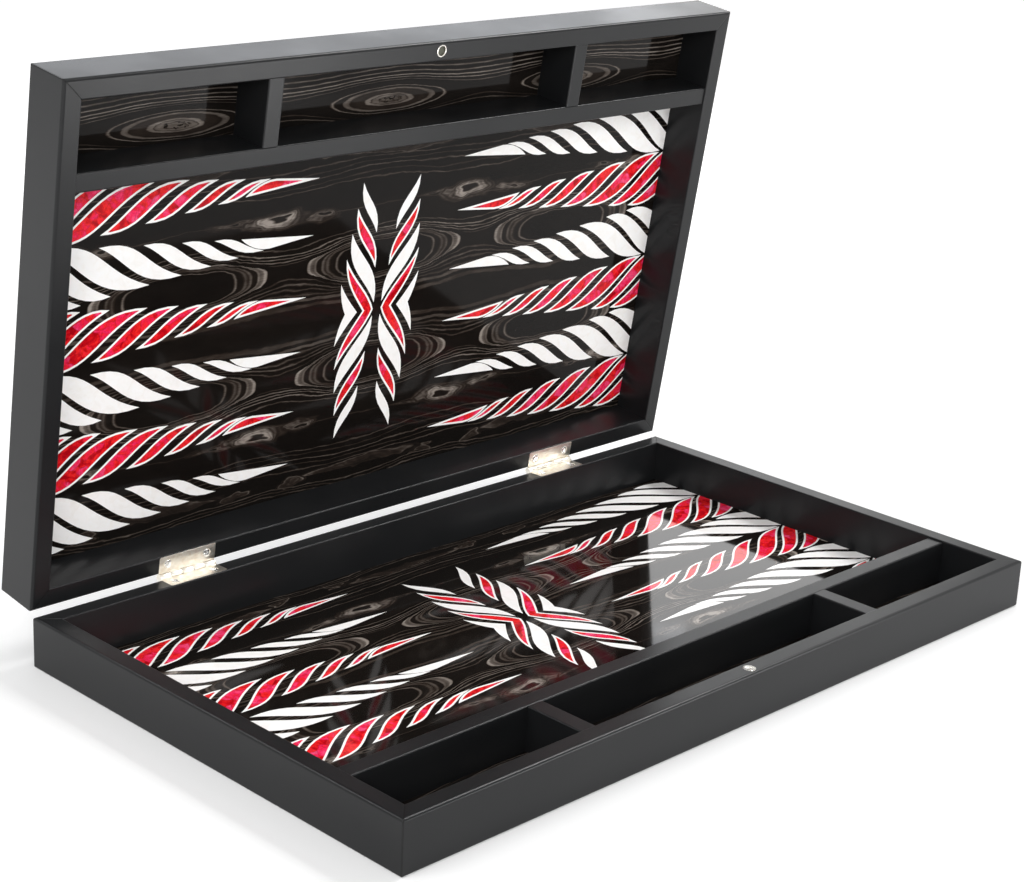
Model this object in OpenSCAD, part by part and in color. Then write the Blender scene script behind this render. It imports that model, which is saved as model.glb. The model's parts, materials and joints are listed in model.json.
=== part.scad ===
/* [Board] */
// Length of the board along its hinges
board_length = 480; // [440:1:484]
// Depth of each half, from its tray side to its hinge side
board_depth = 282; // [276:1:300]
// Height of each half
half_height = 28.2; // [24:0.1:34]
// Opening angle at which the lid stands, 0 when closed and 180 when flat
lid_angle = 82; // [0:1:180]
// Gap between the two rims when the board is closed
rim_gap = 0.3; // [0.2:0.05:0.6]

/* [Frame] */
// Width of the four rails of each half
rail_width = 10.8; // [9:0.1:14]
// Rounding of the rim's outer edge
rim_outer_radius = 1.6; // [0.8:0.1:2]
// Rounding of the rim's inner edge and of the dividers' edges
rim_inner_radius = 0.8; // [0.4:0.1:1.2]
// Rounding of the outer edge of the underside
foot_radius = 1.2; // [0.6:0.1:2]
// Width of the rebate that takes the panel
rebate_width = 4.5; // [3:0.1:6]

/* [Panel] */
// Thickness of the whole panel, its two veneers included
panel_thickness = 3; // [2.4:0.1:4]
// Thickness of each veneer and of the inlays
veneer_thickness = 0.5; // [0.3:0.05:0.8]

/* [Tray] */
// Clear width of the three tray compartments
tray_width = 36.4; // [34:0.1:40]
// Width of the tray rail and of the two short dividers
divider_width = 10.2; // [8:0.1:12]
// Distance of the short dividers' middles from the board's middle
divider_x = 111.5; // [90:0.5:130]
// How far the dividers stay below the rim
divider_drop = 1; // [0.5:0.1:3]

/* [Points] */
// Distance of the points' tips from the board's middle
point_tip_x = 54; // [52:0.5:62]
// Spacing of the six points at each end
row_pitch = 34.65; // [34.5:0.05:35.2]
// How far a tip lies off the middle of its row
tip_offset = 0.9; // [0.6:0.1:1]
// Spread of the side on which the stripes begin, per millimetre of length
near_slope = 0.11; // [0.09:0.001:0.111]
// Spread of the side on which the stripes end, per millimetre of length
far_slope = 0.093; // [0.08:0.001:0.093]
// White border round each red stripe
border_width = 1.2; // [0.6:0.1:1.4]

/* [Ornament] */
// Half the length of the middle ornament
ornament_reach = 78; // [60:1:90]
// How far the ornament's middle lies from the field's middle, towards the tray
ornament_shift = 0.9; // [0:0.1:3]

/* [Hinges] */
// Length of each hinge
hinge_length = 37.5; // [30:0.5:50]
// Distance of the hinges' middles from the board's middle
hinge_x = 141; // [100:1:180]
// Distance of the hinge axis behind the hinge rails
hinge_offset = 2; // [2:0.1:3]
// Outer diameter of the knuckles
barrel_diameter = 4; // [3.4:0.1:4.2]
// Thickness of the leaves
leaf_thickness = 1.2; // [1:0.1:1.5]
// Diameter of the hinge pins
pin_diameter = 1.9; // [1.6:0.1:2.2]
// Distance between the two screws of a leaf
screw_spacing = 25.6; // [20:0.2:28]

/* [Magnets] */
// Diameter of the magnet pocket in the middle of the tray side's rail
magnet_diameter = 7; // [5:0.5:8]
// Depth of the magnet pocket
magnet_depth = 3.2; // [2:0.1:5]

/* [Hidden] */
$fn = 48;

lacquer = "#2b2b2d";
veneer = "#241d18";
board_colour = "#8a6a48";
pearl_white = "#f4f1ea";
pearl_red = "#d6173f";
nickel = "#cfc8b8";
magnet_grey = "#77776c";

// Amount by which a cutting shape runs past the surface that it cuts
overcut = 1;

// The hinge axis runs along X, midway between the two rims of the closed board
axis_y = board_depth / 2 + hinge_offset;
axis_z = half_height + rim_gap / 2;

// Clear inside of a half, and the panel that reaches into the rebates round it
inside_length = board_length - 2 * rail_width;
inside_depth = board_depth - 2 * rail_width;
panel_length = inside_length + 2 * rebate_width;
panel_depth = inside_depth + 2 * rebate_width;

// The tray lies along the front rail, and the playing field fills the rest
tray_front_y = -inside_depth / 2;
tray_back_y = tray_front_y + tray_width;
field_front_y = tray_back_y + divider_width;
field_back_y = inside_depth / 2;
field_middle_y = (field_front_y + field_back_y) / 2;
divider_height = half_height - divider_drop - panel_thickness;
rows = 6;

// Each point has a tip piece and seven stripes, numbered from the tip
stripe_count = 8;
// Longest straight piece that a curved edge is drawn with
edge_piece = 5.4;
// Places of the stripes' near and far corners along the point, from the tip piece on
near_places = [18.4, 34.2, 51.1, 69, 88, 108.2, 132, 150];
far_places = [50.3, 68.3, 89.4, 113.8, 141.3, 172, 196, 222];
// Handles of a stripe's first edge, which crosses the point and then runs along its far side
first_handles = [[0.5, 0.4], [0.51, -0.1]];
// Handles of its second edge, which runs along the near side and then crosses the point
second_handles = [[0.53, -0.19], [0.34, 0.38]];
// The stripes from this one on, which the side rail cuts off, are slimmer
first_slim = 6;
slim_handles = [[0.4, -0.21], [0.38, 0.31]];

// The tip piece's near side is straight up to the shoulder and turns across from there
tip_shoulder = 0.6;
tip_rise = [0.17, 0.07];
tip_end = [0.08, 0.85];
tip_steps = 6;
// Share of the tip piece at which the borders of its two sides part
tip_start = 0.25;

// Each arm of the ornament has five stripes, numbered from its end
ornament_stripes = 5;
outer_place = [0, 14.8];
outer_spread = [21.3, 2];
inner_place = [31, 21.5];
inner_spread = [7.3, -2.2];
// Handles of an arm stripe's first edge; its second edge is the same one turned end for end
arm_handles = [[0.39, 0.41], [0.49, -0.1]];
// The stripes from this one on meet their mirror images, and their second edges are flatter
first_chevron = 3;
chevron_handles = [[0.43, 0.04], [0.41, 0.3]];

knuckle_count = 5;
knuckle_pitch = hinge_length / knuckle_count;
knuckle_gap = 0.3;
base_knuckles = [0, 2, 4];
lid_knuckles = [1, 3];
pin_play = 0.05;
// The leaves end this far before the rim's inner edge
leaf_inset = 0.5;
leaf_reach = hinge_offset + rail_width - leaf_inset;
// Leaf faces lie this far below the plane through the hinge axis
leaf_sink = rim_gap / 2 + 0.05;
leaf_corner = 1;
barrel_clearance = 0.3;
screw_y = hinge_offset + rail_width / 2;
screw_length = 12;
screw_radius = 1.2;
screw_head_radius = 2.6;
screw_head_depth = 1.1;
screw_dome = 0.12;
screw_dome_slope = 0.9;

magnet_proud = 0.1;
cup_wall = 0.9;
cup_floor = 0.8;
cup_recess = 0.7;

// Takes a part of a half from the base's place to the lid's place
module lid_place() {
    translate([0, axis_y, axis_z])
        rotate([180 - lid_angle, 0, 0])
            rotate([0, 0, 180])
                translate([0, -axis_y, -axis_z])
                    children();
}

// What is taken off a square corner at the origin to round it, wood lying towards +X and -Y
module corner_cut(radius) {
    difference() {
        translate([-overcut, -radius]) square([radius + overcut, radius + overcut]);
        translate([radius, -radius]) circle(radius);
    }
}

// Section of a rail: its outer face at X = 0 and its underside at Y = 0
module rail_profile() {
    difference() {
        square([rail_width, half_height]);
        translate([0, half_height]) corner_cut(rim_outer_radius);
        translate([rail_width, half_height]) mirror([1, 0]) corner_cut(rim_inner_radius);
        mirror([0, 1]) corner_cut(foot_radius);
        translate([rail_width - rebate_width, -overcut])
            square([rebate_width + overcut, panel_thickness + overcut]);
    }
}

// Section of a divider, standing on the veneer
module divider_profile() {
    difference() {
        translate([-divider_width / 2, 0]) square([divider_width, divider_height]);
        for (side = [0, 1])
            mirror([side, 0])
                translate([-divider_width / 2, divider_height]) corner_cut(rim_inner_radius);
    }
}

// A section swept along X, its own X becoming Y and its own Y becoming Z
module along_x(length) {
    translate([-length / 2, 0, 0]) rotate([90, 0, 90]) linear_extrude(length) children();
}

// A rail along X with its outer face at Y = 0 and both ends mitred
module mitred_rail(length) {
    intersection() {
        along_x(length) rail_profile();
        linear_extrude(half_height)
            polygon([
                [-length / 2, 0],
                [length / 2, 0],
                [length / 2 - rail_width, rail_width],
                [rail_width - length / 2, rail_width]
            ]);
    }
}

module front_rail() {
    difference() {
        translate([0, -board_depth / 2, 0]) mitred_rail(board_length);
        magnet_place()
            translate([0, 0, -magnet_depth])
                cylinder(h = magnet_depth + overcut, d = magnet_diameter);
    }
}

module side_rail(side) {
    translate([side * board_length / 2, 0, 0])
        rotate([0, 0, side * 90])
            mitred_rail(board_depth);
}

module hinge_rail() {
    difference() {
        translate([0, board_depth / 2, 0]) rotate([0, 0, 180]) mitred_rail(board_length);
        for (side = [-1, 1])
            hinge_place(side) {
                leaf_blank(leaf_sink + leaf_thickness + overcut);
                rotate([0, 90, 0])
                    cylinder(
                        h = hinge_length,
                        d = barrel_diameter + 2 * barrel_clearance,
                        center = true
                    );
                screw_places() screw_shank();
            }
    }
}

// One layer of the panel
module panel_layer(bottom, thickness) {
    translate([-panel_length / 2, -panel_depth / 2, bottom])
        cube([panel_length, panel_depth, thickness]);
}

module play_veneer() {
    translate([0, 0, panel_thickness - veneer_thickness])
        linear_extrude(veneer_thickness)
            difference() {
                square([panel_length, panel_depth], center = true);
                white_points_outline();
                red_points_outline();
                white_ornament_outline();
                red_ornament_outline();
            }
}

// Flat shapes of the inlays given the veneer's thickness and place
module inlay() {
    translate([0, 0, panel_thickness - veneer_thickness])
        linear_extrude(veneer_thickness)
            children();
}

function cubic(p, t) =
    pow(1 - t, 3) * p[0] + 3 * t * pow(1 - t, 2) * p[1] + 3 * t * t * (1 - t) * p[2] + pow(t, 3) * p[3];

function scaled(v, share) = [v.x * share.x, v.y * share.y];

function place(law, k) = law[0] + law[1] * k;

// One long edge of a stripe, from its near corner to its far corner
function edge(near, far, handles) =
    let (
        span = far - near,
        steps = ceil(norm(span) / edge_piece),
        p = [near, near + scaled(span, handles[0]), far - scaled(span, handles[1]), far]
    )
    [for (i = [0 : steps]) cubic(p, i / steps)];

// Both edges of a tip piece: a straight one, and one that keeps to the near side before it crosses
function tip_edges(far) =
    let (
        beside = [far.x, near_slope * far.x],
        shoulder = beside * tip_shoulder,
        p = [shoulder, shoulder + scaled(beside, tip_rise), far - scaled(far, tip_end), far],
        shares = [for (i = [0 : tip_steps]) i / tip_steps]
    )
    [
        concat([[0, 0], far * tip_start], [for (t = shares) far * (tip_shoulder + (1 - tip_shoulder) * t)]),
        concat([[0, 0], beside * tip_start], [for (t = shares) cubic(p, t)])
    ];

// Both edges of stripe k of a point whose tip is at the origin and whose root lies towards +X
function point_edges(k) =
    let (
        near = [near_places[k], near_slope * near_places[k]],
        far = [far_places[k], -far_slope * far_places[k]],
        second = k < first_slim ? second_handles : slim_handles
    )
    k == 0 ? tip_edges(far) : [edge(near, far, first_handles), edge(near, far, second)];

// Both edges of stripe k of an ornament arm that runs along +X from its end
function arm_edges(k) =
    let (
        near = [place(outer_place, k), place(outer_spread, k)],
        far = [place(inner_place, k), place(inner_spread, k)],
        turned = [arm_handles[1], arm_handles[0]]
    )
    [edge(near, far, arm_handles), edge(near, far, k < first_chevron ? turned : chevron_handles)];

// Closed outline of a stripe, from its two edges
function outline(edges) = concat(edges[0], [for (i = [len(edges[1]) - 2 : -1 : 1]) edges[1][i]]);

// Direction square to an edge at one of its places, to the left of its run
function left_of(points, i) =
    let (run = points[min(i + 1, len(points) - 1)] - points[max(i - 1, 0)])
    [-run.y, run.x] / norm(run);

// Closed outline of a stripe's red middle, which keeps a border's width from both edges
// and ends in a point at each place where the two borders meet
function middle(edges) =
    let (
        last = len(edges[0]) - 1,
        a = [for (i = [0 : last]) edges[0][i] + border_width * left_of(edges[0], i)],
        b = [for (i = [0 : last]) edges[1][i] - border_width * left_of(edges[1], i)],
        clear = [for (i = [0 : last]) (b[i] - a[i]) * left_of(edges[0], i)],
        open = [for (i = [0 : last]) if (clear[i] > 0) i],
        i = open[0],
        j = open[len(open) - 1],
        start = closing_point((a[i] + b[i]) / 2, (a[i - 1] + b[i - 1]) / 2, clear[i], clear[i - 1]),
        end = closing_point((a[j] + b[j]) / 2, (a[j + 1] + b[j + 1]) / 2, clear[j], clear[j + 1])
    )
    concat([start], [for (k = open) a[k]], [end], [for (k = [len(open) - 1 : -1 : 0]) b[open[k]]]);

// Place between p and q where a width that is w at p and below nothing at q comes to nothing
function closing_point(p, q, w, below) = p + (q - p) * w / (w - below);

module point_stripes() {
    for (k = [0 : stripe_count - 1]) polygon(outline(point_edges(k)));
}

module point_middles() {
    for (k = [0 : stripe_count - 1]) polygon(middle(point_edges(k)));
}

// Puts a point's stripes in the rows of one colour, cut off where the field ends.
// Rows are counted from the hinge side, and the two ends of the board take turns.
module in_rows(red) {
    intersection() {
        translate([-inside_length / 2, field_front_y])
            square([inside_length, field_back_y - field_front_y]);
        for (row = [0 : rows - 1], side = [-1, 1])
            if (red == ((row % 2 == 0) == (side < 0)))
                translate([
                    side * point_tip_x,
                    field_middle_y + row_pitch * ((rows - 1) / 2 - row)
                        + tip_offset * (row % 2 == 0 ? -1 : 1)
                ])
                    rotate(side < 0 ? 180 : 0)
                        mirror([0, red ? 1 : 0])
                            children();
    }
}

// Draws an arm of the ornament four times round the ornament's middle
module four_arms() {
    translate([0, field_middle_y - ornament_shift])
        for (across = [0, 1], up = [0, 1])
            mirror([across, 0])
                mirror([0, up])
                    intersection() {
                        translate([0, ornament_reach]) rotate(-90) children();
                        square([ornament_reach, ornament_reach]);
                    }
}

module white_points_outline() {
    in_rows(false) point_stripes();
}

module red_points_outline() {
    in_rows(true) point_stripes();
}

module white_ornament_outline() {
    four_arms()
        for (k = [0 : 2 : ornament_stripes - 1]) polygon(outline(arm_edges(k)));
}

module red_ornament_outline() {
    four_arms()
        for (k = [1 : 2 : ornament_stripes - 1]) polygon(outline(arm_edges(k)));
}

module white_points() {
    inlay() white_points_outline();
}

module red_points() {
    inlay() in_rows(true) point_middles();
}

module white_ornament() {
    inlay() white_ornament_outline();
}

module red_ornament() {
    inlay()
        four_arms()
            for (k = [1 : 2 : ornament_stripes - 1]) polygon(middle(arm_edges(k)));
}

module red_borders() {
    inlay()
        in_rows(true)
            difference() {
                point_stripes();
                point_middles();
            }
    inlay()
        four_arms()
            for (k = [1 : 2 : ornament_stripes - 1])
                difference() {
                    polygon(outline(arm_edges(k)));
                    polygon(middle(arm_edges(k)));
                }
}

module tray_rail() {
    translate([0, tray_back_y + divider_width / 2, panel_thickness])
        along_x(inside_length) divider_profile();
}

module short_divider(side) {
    translate([side * divider_x, tray_front_y + tray_width / 2, panel_thickness])
        rotate([0, 0, 90])
            along_x(tray_width) divider_profile();
}

// Origin on the hinge axis at the middle of a hinge, the half lying towards -Y
module hinge_place(side) {
    translate([side * hinge_x, axis_y, axis_z]) children();
}

module screw_places() {
    for (side = [-1, 1])
        translate([side * screw_spacing / 2, -screw_y, -leaf_sink])
            children();
}

// The leaf's plate before its holes, with the two far corners rounded
module leaf_blank(height) {
    translate([0, 0, -leaf_sink - leaf_thickness])
        linear_extrude(height)
            difference() {
                translate([-hinge_length / 2, -leaf_reach]) square([hinge_length, leaf_reach]);
                for (side = [0, 1])
                    mirror([side, 0])
                        translate([-hinge_length / 2, -leaf_reach])
                            mirror([0, 1])
                                corner_cut(leaf_corner);
            }
}

module screw_shank() {
    translate([0, 0, -screw_length]) cylinder(h = screw_length, r = screw_radius);
}

module screw_head() {
    translate([0, 0, -screw_head_depth])
        cylinder(h = screw_head_depth, r1 = screw_radius, r2 = screw_head_radius);
}

module knuckle(k, diameter, length) {
    translate([(k + 0.5) * knuckle_pitch - hinge_length / 2, 0, 0])
        rotate([0, 90, 0])
            cylinder(h = length, d = diameter, center = true);
}

// A leaf with the knuckles that it owns, cut clear of the other leaf's knuckles
module hinge_leaf(side, own, other, bore) {
    hinge_place(side)
        difference() {
            union() {
                leaf_blank(leaf_thickness);
                for (k = own) knuckle(k, barrel_diameter, knuckle_pitch - knuckle_gap);
            }
            for (k = other)
                knuckle(k, barrel_diameter + 2 * barrel_clearance, knuckle_pitch + knuckle_gap);
            for (k = own) knuckle(k, bore, knuckle_pitch + overcut);
            screw_places() {
                screw_head();
                screw_shank();
            }
        }
}

module hinge_screws() {
    for (side = [-1, 1])
        hinge_place(side)
            screw_places() {
                screw_shank();
                screw_head();
                cylinder(
                    h = screw_dome,
                    r1 = screw_head_radius,
                    r2 = screw_head_radius - screw_dome_slope
                );
            }
}

module hinge_pin(side) {
    hinge_place(side)
        rotate([0, 90, 0])
            cylinder(h = hinge_length, d = pin_diameter, center = true);
}

// Origin at the middle of the tray side's rim
module magnet_place() {
    translate([0, -board_depth / 2 + rail_width / 2, half_height]) children();
}

module plain_magnet() {
    magnet_place()
        translate([0, 0, -magnet_depth])
            cylinder(h = magnet_depth + magnet_proud, d = magnet_diameter);
}

module magnet_cup() {
    magnet_place()
        difference() {
            translate([0, 0, -magnet_depth]) cylinder(h = magnet_depth, d = magnet_diameter);
            translate([0, 0, cup_floor - magnet_depth])
                cylinder(h = magnet_depth, d = magnet_diameter - 2 * cup_wall);
        }
}

module recessed_magnet() {
    magnet_place()
        translate([0, 0, cup_floor - magnet_depth])
            cylinder(
                h = magnet_depth - cup_floor - cup_recess,
                d = magnet_diameter - 2 * cup_wall
            );
}

module base_front_rail() { color(lacquer) front_rail(); }
module base_hinge_rail() { color(lacquer) hinge_rail(); }
module base_left_rail() { color(lacquer) side_rail(-1); }
module base_right_rail() { color(lacquer) side_rail(1); }
module base_panel_board() {
    color(board_colour)
        panel_layer(veneer_thickness, panel_thickness - 2 * veneer_thickness);
}
module base_outer_veneer() { color(veneer) panel_layer(0, veneer_thickness); }
module base_play_veneer() { color(veneer) play_veneer(); }
module base_white_points() { color(pearl_white) white_points(); }
module base_red_points() { color(pearl_red) red_points(); }
module base_red_borders() { color(pearl_white) red_borders(); }
module base_white_ornament() { color(pearl_white) white_ornament(); }
module base_red_ornament() { color(pearl_red) red_ornament(); }
module base_tray_rail() { color(lacquer) tray_rail(); }
module base_left_divider() { color(lacquer) short_divider(-1); }
module base_right_divider() { color(lacquer) short_divider(1); }
module base_left_hinge_leaf() {
    color(nickel) hinge_leaf(-1, base_knuckles, lid_knuckles, pin_diameter);
}
module base_right_hinge_leaf() {
    color(nickel) hinge_leaf(1, base_knuckles, lid_knuckles, pin_diameter);
}
module base_hinge_screws() { color(nickel) hinge_screws(); }
module base_magnet() { color(nickel) plain_magnet(); }
module left_hinge_pin() { color(nickel) hinge_pin(-1); }
module right_hinge_pin() { color(nickel) hinge_pin(1); }

// The lid is the same half turned round, so its left side is the half's right side
module lid_front_rail() { color(lacquer) lid_place() front_rail(); }
module lid_hinge_rail() { color(lacquer) lid_place() hinge_rail(); }
module lid_left_rail() { color(lacquer) lid_place() side_rail(1); }
module lid_right_rail() { color(lacquer) lid_place() side_rail(-1); }
module lid_panel_board() {
    color(board_colour)
        lid_place() panel_layer(veneer_thickness, panel_thickness - 2 * veneer_thickness);
}
module lid_outer_veneer() { color(veneer) lid_place() panel_layer(0, veneer_thickness); }
module lid_play_veneer() { color(veneer) lid_place() play_veneer(); }
module lid_white_points() { color(pearl_white) lid_place() white_points(); }
module lid_red_points() { color(pearl_red) lid_place() red_points(); }
module lid_red_borders() { color(pearl_white) lid_place() red_borders(); }
module lid_white_ornament() { color(pearl_white) lid_place() white_ornament(); }
module lid_red_ornament() { color(pearl_red) lid_place() red_ornament(); }
module lid_tray_rail() { color(lacquer) lid_place() tray_rail(); }
module lid_left_divider() { color(lacquer) lid_place() short_divider(1); }
module lid_right_divider() { color(lacquer) lid_place() short_divider(-1); }
module lid_left_hinge_leaf() {
    color(nickel) lid_place() hinge_leaf(1, lid_knuckles, base_knuckles, pin_diameter + 2 * pin_play);
}
module lid_right_hinge_leaf() {
    color(nickel) lid_place() hinge_leaf(-1, lid_knuckles, base_knuckles, pin_diameter + 2 * pin_play);
}
module lid_hinge_screws() { color(nickel) lid_place() hinge_screws(); }
module lid_magnet_cup() { color(nickel) lid_place() magnet_cup(); }
module lid_magnet() { color(magnet_grey) lid_place() recessed_magnet(); }

base_front_rail();
base_hinge_rail();
base_left_rail();
base_right_rail();
base_panel_board();
base_outer_veneer();
base_play_veneer();
base_white_points();
base_red_points();
base_red_borders();
base_white_ornament();
base_red_ornament();
base_tray_rail();
base_left_divider();
base_right_divider();
base_left_hinge_leaf();
base_right_hinge_leaf();
base_hinge_screws();
base_magnet();
left_hinge_pin();
right_hinge_pin();
lid_front_rail();
lid_hinge_rail();
lid_left_rail();
lid_right_rail();
lid_panel_board();
lid_outer_veneer();
lid_play_veneer();
lid_white_points();
lid_red_points();
lid_red_borders();
lid_white_ornament();
lid_red_ornament();
lid_tray_rail();
lid_left_divider();
lid_right_divider();
lid_left_hinge_leaf();
lid_right_hinge_leaf();
lid_hinge_screws();
lid_magnet_cup();
lid_magnet();
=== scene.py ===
# %% [markdown]
# A backgammon board that opens like a case. Two equal shallow halves of satin black lacquer
# are hinged together: one lies on the table, the other stands behind it as the lid. Inside each
# half is a sheet of dark figured veneer with inlays of white and red mother of pearl, all under
# one coat of gloss lacquer. The solids come from the CAD model and stay where they are. This
# lesson gives them their finishes, models the small parts that CAD left plain, and sets up the
# floor, the light and the camera.

# %% Load the model as a fixed frame
import json
import math

import bpy
from mathutils import Euler, Matrix, Vector


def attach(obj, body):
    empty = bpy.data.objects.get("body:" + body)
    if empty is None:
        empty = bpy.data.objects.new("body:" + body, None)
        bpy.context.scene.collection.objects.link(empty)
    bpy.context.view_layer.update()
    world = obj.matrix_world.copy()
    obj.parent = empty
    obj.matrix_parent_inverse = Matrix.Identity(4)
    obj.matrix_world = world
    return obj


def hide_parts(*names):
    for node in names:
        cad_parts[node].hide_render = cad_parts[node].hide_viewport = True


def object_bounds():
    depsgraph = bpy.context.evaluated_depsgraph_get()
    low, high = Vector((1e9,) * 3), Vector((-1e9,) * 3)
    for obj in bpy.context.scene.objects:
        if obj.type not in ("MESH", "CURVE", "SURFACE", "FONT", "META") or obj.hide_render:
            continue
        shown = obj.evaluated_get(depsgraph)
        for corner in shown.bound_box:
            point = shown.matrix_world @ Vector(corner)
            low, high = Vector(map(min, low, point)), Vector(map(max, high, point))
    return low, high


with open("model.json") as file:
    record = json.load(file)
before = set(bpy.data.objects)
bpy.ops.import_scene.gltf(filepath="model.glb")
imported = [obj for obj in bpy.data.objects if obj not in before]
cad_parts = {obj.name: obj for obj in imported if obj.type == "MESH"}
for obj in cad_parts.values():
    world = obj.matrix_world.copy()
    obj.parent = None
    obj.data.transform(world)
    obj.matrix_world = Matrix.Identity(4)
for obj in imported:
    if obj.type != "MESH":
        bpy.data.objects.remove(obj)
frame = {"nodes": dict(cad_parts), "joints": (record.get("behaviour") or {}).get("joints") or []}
cad_low, cad_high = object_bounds()
MM = 0.001
print("solids in the frame:", len(frame["nodes"]))
print("size in mm:", [round(v / MM, 1) for v in cad_high - cad_low])

# %% [markdown]
# Both halves are the same part. The lid is a half turned end for end and swung up about the
# hinges, so one set of finishes can serve both: on the lid, a Mapping node turns the lid's
# points back to where they would be on a half that lies on the table. The patterns can then be
# written once, in millimetres along and across a half.

# %% Where the lid stands, and the way back
hinge = Vector(next(j for j in frame["joints"] if j["name"] == "lid_hinge")["pos_m"])
OPENING = 82
LID_SWING = math.radians(180 - OPENING)
back_turn = Euler((-LID_SWING, 0, math.pi), "XYZ")
back_shift = hinge - back_turn.to_matrix() @ hinge
print("hinge axis in mm:", [round(v / MM, 2) for v in hinge])


def to_lid(point):
    """Where a point of the lying half is once that half has become the lid."""
    return back_turn.to_matrix().inverted() @ (Vector(point) - back_shift)

# %% [markdown]
# A finish is a small network of nodes. Laying nodes by hand in code is wordy, so this class
# writes them down like a sum: calc adds a Math node, noise a Noise Texture, tones a Color Ramp.
# Each returns the socket that the next step uses.

# %% A notebook for writing finishes
NOISE_LOW, NOISE_HIGH = 0.3, 0.7


class Finish:
    """One material, its half's coordinates in millimetres, and short names for its nodes."""

    def __init__(self, name, half):
        self.material = bpy.data.materials.new(f"{name}_{half}")
        self.material.use_nodes = True
        self.tree = self.material.node_tree
        self.shader = self.tree.nodes["Principled BSDF"]
        place = self.node("ShaderNodeTexCoord").outputs["Object"]
        if half == "lid":
            turned = self.node("ShaderNodeMapping", Vector=place, Rotation=back_turn,
                               Location=back_shift)
            place = turned.outputs[0]
        self.place = self.node("ShaderNodeMapping", Vector=place,
                               Scale=(1 / MM, 1 / MM, 1 / MM)).outputs[0]
        parts = self.node("ShaderNodeSeparateXYZ", Vector=self.place).outputs
        self.x, self.y, self.z = parts[0], parts[1], parts[2]

    def node(self, kind, settings=None, **inputs):
        made = self.tree.nodes.new(kind)
        for key, value in (settings or {}).items():
            setattr(made, key, value)
        for key, value in inputs.items():
            self.put(made.inputs[key.replace("_", " ")], value)
        return made

    def put(self, socket, value):
        if isinstance(value, bpy.types.NodeSocket):
            self.tree.links.new(value, socket)
        elif value is not None:
            socket.default_value = value

    def calc(self, operation, *values):
        made = self.node("ShaderNodeMath", {"operation": operation})
        for socket, value in zip(made.inputs, values):
            self.put(socket, value)
        return made.outputs[0]

    def vector(self, x, y, z=0.0):
        return self.node("ShaderNodeCombineXYZ", X=x, Y=y, Z=z).outputs[0]

    def noise(self, where, scale=1.0, detail=2.0, roughness=0.5, distortion=0.0):
        return self.node("ShaderNodeTexNoise", Vector=where, Scale=scale, Detail=detail,
                         Roughness=roughness, Distortion=distortion).outputs["Fac"]

    def spread(self, value, low, high, to_low=0.0, to_high=1.0, smooth=True):
        """value, low to high, becomes to_low to to_high and stays within them."""
        kind = "SMOOTHSTEP" if smooth else "LINEAR"
        made = self.node("ShaderNodeMapRange", {"interpolation_type": kind})
        for key, v in (("Value", value), ("From Min", low), ("From Max", high),
                       ("To Min", to_low), ("To Max", to_high)):
            self.put(made.inputs[key], v)
        return made.outputs["Result"]

    def vary(self, noise, low, high, smooth=True):
        """Noise, which mostly lies between NOISE_LOW and NOISE_HIGH, becomes low to high."""
        return self.spread(noise, NOISE_LOW, NOISE_HIGH, low, high, smooth)

    def stretched(self, along, over, across=None):
        """Coordinates for noise: x times along, and y, or across in its place, times over."""
        across = self.y if across is None else across
        return self.vector(self.calc("MULTIPLY", self.x, along),
                           self.calc("MULTIPLY", across, over))

    def tones(self, value, stops, low=0.0, high=1.0):
        """A Color Ramp over low to high; stops are (value, tone) or (value, (r, g, b))."""
        made = self.node("ShaderNodeValToRGB", Fac=self.spread(value, low, high, smooth=False))
        marks = made.color_ramp.elements
        while len(marks) > 1:
            marks.remove(marks[0])
        for i, (at, tone) in enumerate(stops):
            position = (at - low) / (high - low)
            mark = marks.new(position) if i else marks[0]
            mark.position = position
            mark.color = (*(tone if isinstance(tone, tuple) else (tone,) * 3), 1.0)
        return made.outputs["Color"]

    def mix(self, factor, first, second):
        made = self.node("ShaderNodeMix", {"data_type": "RGBA"})
        for socket, value in zip((made.inputs[0], made.inputs[6], made.inputs[7]),
                                 (factor, first, second)):
            if isinstance(value, tuple):
                value = (*value, 1.0)
            self.put(socket, value)
        return made.outputs[2]

    def relief(self, height, depth):
        """Bump from height, 0 to 1, over depth in millimetres."""
        bump = self.node("ShaderNodeBump", Height=height, Distance=depth * MM, Strength=1.0)
        self.put(self.shader.inputs["Normal"], bump.outputs[0])

    def look(self, **inputs):
        for key, value in inputs.items():
            if isinstance(value, tuple) and len(value) == 3:
                value = (*value, 1.0)
            self.put(self.shader.inputs[key.replace("_", " ")], value)


print("finish notebook ready")

# %% [markdown]
# The frame, the tray rail and the dividers are fibreboard under satin black lacquer: nearly
# black, with a soft wide reflection. Sprayed lacquer is never quite flat, so a fine orange peel
# bends the reflection a little, and slow patches make it now sharper, now softer.
#
# The lacquer was sprayed on the finished frame, so the mitre joints at its corners show only as
# hairlines: a dip in the coat along the line where two rails meet.

# %% Satin black lacquer
HALF_LENGTH, HALF_WIDTH, RAIL_WIDTH = 240.0, 141.0, 10.8
HAIRLINE_CORE, HAIRLINE_EDGE, HAIRLINE_DEPTH = 0.15, 0.7, 6.0
LACQUER_LEVEL = 0.25


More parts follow.
